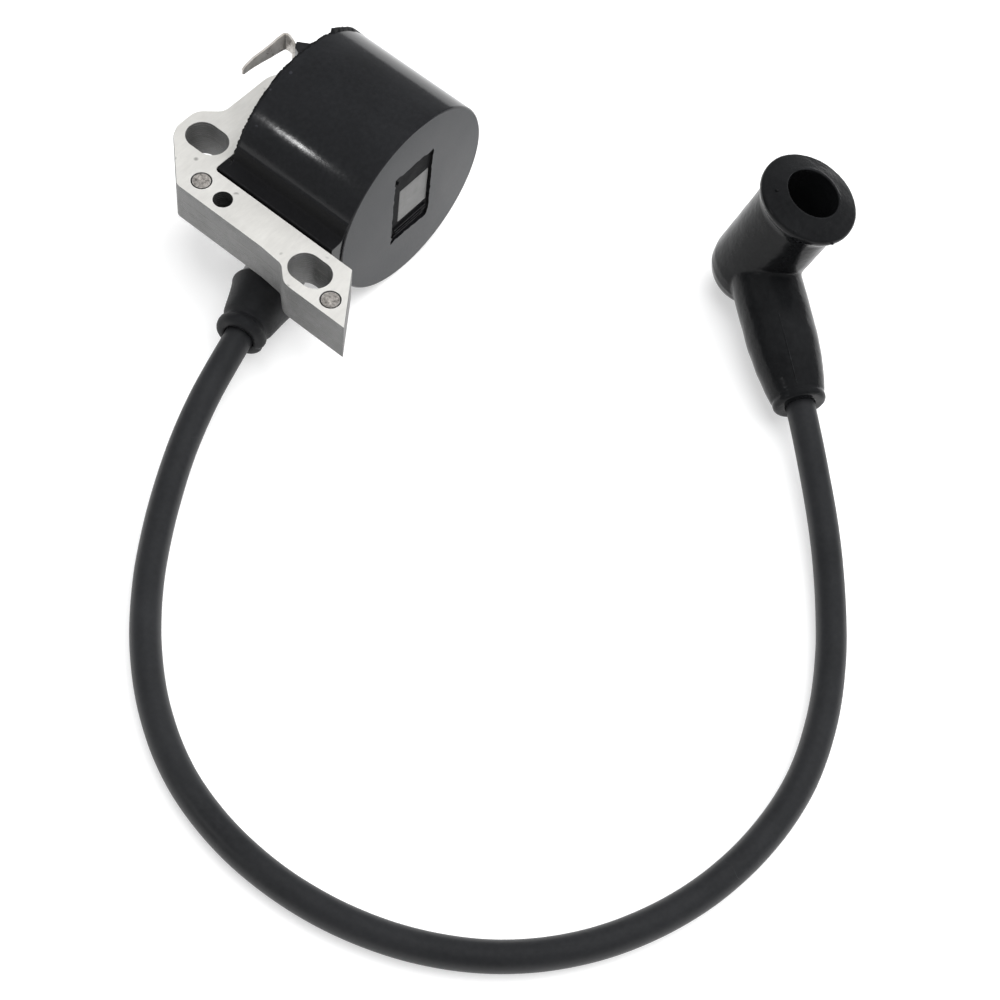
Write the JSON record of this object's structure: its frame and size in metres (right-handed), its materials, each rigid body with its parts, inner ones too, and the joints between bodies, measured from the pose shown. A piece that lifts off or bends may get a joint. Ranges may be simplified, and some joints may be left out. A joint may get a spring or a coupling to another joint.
{
  "type": "ignition coil",
  "caption": "Small-engine ignition coil: round potted coil on a laminated core with slotted feet, stop tab, high-tension lead and elbow plug boot.",
  "frame": {"origin": "on the surface that the coil lies on, under the middle of the coil without its lead, sleeve and boot", "axes": "+X along the core's legs towards the flywheel, +Y from the slotted mounting leg towards the coil, +Z square to the laminations, away from the mounting face"},
  "size_m": [0.1506, 0.1515, 0.0367],
  "materials": {
    "core_steel": "flat ground electrical steel sheet",
    "rivet_steel": "peened rivet ends",
    "case_black": "black moulded thermoset with a soft shine",
    "resin_black": "cast black potting resin",
    "bobbin_plastic": "natural glass-filled nylon",
    "enamel_wire": "copper enamelled wire",
    "board_green": "green solder mask",
    "chip_black": "moulded component bodies",
    "tinned_brass": "bright tinned sheet brass",
    "brass": "turned brass",
    "sleeve_rubber": "matt moulded rubber",
    "lead_rubber": "smooth extruded rubber",
    "boot_rubber": "moulded rubber with a slight gloss",
    "strand_copper": "fine copper strands",
    "spring_steel": "bright spring wire"
  },
  "bodies": {
    "coil": {"core_laminations": "core_steel", "core_rivets": "rivet_steel", "coil_case": "case_black", "potting_resin": "resin_black", "primary_bobbin": "bobbin_plastic", "primary_winding": "enamel_wire", "secondary_bobbin": "bobbin_plastic", "secondary_winding": "enamel_wire", "control_board": "board_green", "switching_transistor": "chip_black", "control_chip": "chip_black", "bias_resistors": "chip_black", "damping_capacitor": "bobbin_plastic", "stop_terminal": "tinned_brass", "ground_strap": "tinned_brass", "primary_wires": "enamel_wire", "secondary_wire": "enamel_wire", "lead_spike": "brass", "lead_sleeve": "sleeve_rubber", "lead_jacket": "lead_rubber", "lead_conductor": "strand_copper"},
    "boot": {"plug_boot": "boot_rubber", "contact_spring": "spring_steel"}
  },
  "joints": [
    {"name": "boot_swivel", "type": "hinge", "parent": "coil", "child": "boot", "pos_m": [0.07648, 0.03111, 0.00754], "axis": [0.7689, -0.6293, -0.1132], "range_deg": [-60, 60]}
  ]
}
